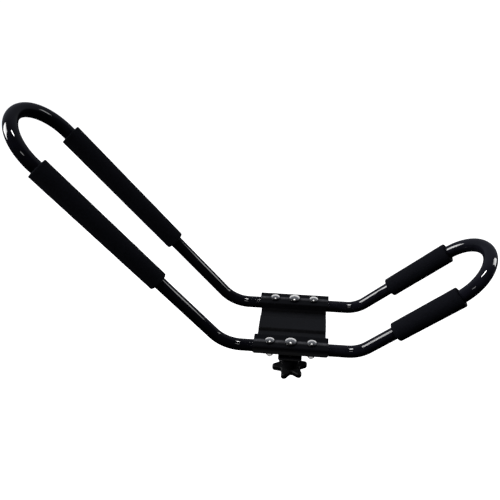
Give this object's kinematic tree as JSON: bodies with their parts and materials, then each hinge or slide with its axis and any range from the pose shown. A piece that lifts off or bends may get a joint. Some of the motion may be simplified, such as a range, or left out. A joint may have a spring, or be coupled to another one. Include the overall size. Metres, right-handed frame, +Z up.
{
  "type": "j style kayak carrier",
  "caption": "J style kayak carrier for a roof crossbar: two bent tube arms with foam sleeves, bolted under a formed saddle plate and clamped from below by a strap and star knobs.",
  "frame": {"origin": "middle of the rubber seat's underside, where the crossbar bears", "axes": "+X along the crossbar towards the short arm, +Z up, -Y the side that the picture looks from"},
  "size_m": [0.6343, 0.1604, 0.3839],
  "materials": {
    "tube_paint": "gloss black powder coat",
    "plate_paint": "semi-gloss black powder coat",
    "foam": "matt closed-cell foam",
    "zinc_steel": "bright zinc plating",
    "knob_plastic": "moulded black plastic",
    "insert_brass": "machined brass",
    "seat_rubber": "smooth black rubber"
  },
  "bodies": {
    "carrier_frame": {"long_arm_tube": "tube_paint", "short_arm_tube": "tube_paint", "saddle_plate": "plate_paint", "seat_pad": "seat_rubber", "foam_long_front": "foam", "foam_short_front": "foam", "tube_bolt_long_front": "zinc_steel", "tube_bolt_short_front": "zinc_steel", "tube_nut_long_front": "zinc_steel", "tube_nut_short_front": "zinc_steel", "clamp_bolt_front": "zinc_steel", "foam_long_rear": "foam", "foam_short_rear": "foam", "tube_bolt_long_rear": "zinc_steel", "tube_bolt_short_rear": "zinc_steel", "tube_nut_long_rear": "zinc_steel", "tube_nut_short_rear": "zinc_steel", "clamp_bolt_rear": "zinc_steel"},
    "clamp": {"clamp_strap": "plate_paint", "washer_front": "zinc_steel", "washer_rear": "zinc_steel"},
    "front_knob": {"star_knob_front": "knob_plastic", "knob_insert_front": "insert_brass"},
    "rear_knob": {"star_knob_rear": "knob_plastic", "knob_insert_rear": "insert_brass"}
  },
  "joints": [
    {"name": "clamp_slide", "type": "slide", "parent": "carrier_frame", "child": "clamp", "axis": [0, 0, -1], "range_m": [0, 0.02681]},
    {"name": "front_knob_turn", "type": "hinge", "parent": "clamp", "child": "front_knob", "pos_m": [0, -0.05375, 0], "axis": [0, 0, -1], "range_deg": [0, 6840]},
    {"name": "rear_knob_turn", "type": "hinge", "parent": "clamp", "child": "rear_knob", "pos_m": [0, 0.05375, 0], "axis": [0, 0, -1], "range_deg": [0, 6840]}
  ],
  "couplings": [
    {"joint": "front_knob_turn", "follows": "clamp_slide", "rad_per_m": 4452.7},
    {"joint": "rear_knob_turn", "follows": "clamp_slide", "rad_per_m": 4452.7}
  ]
}
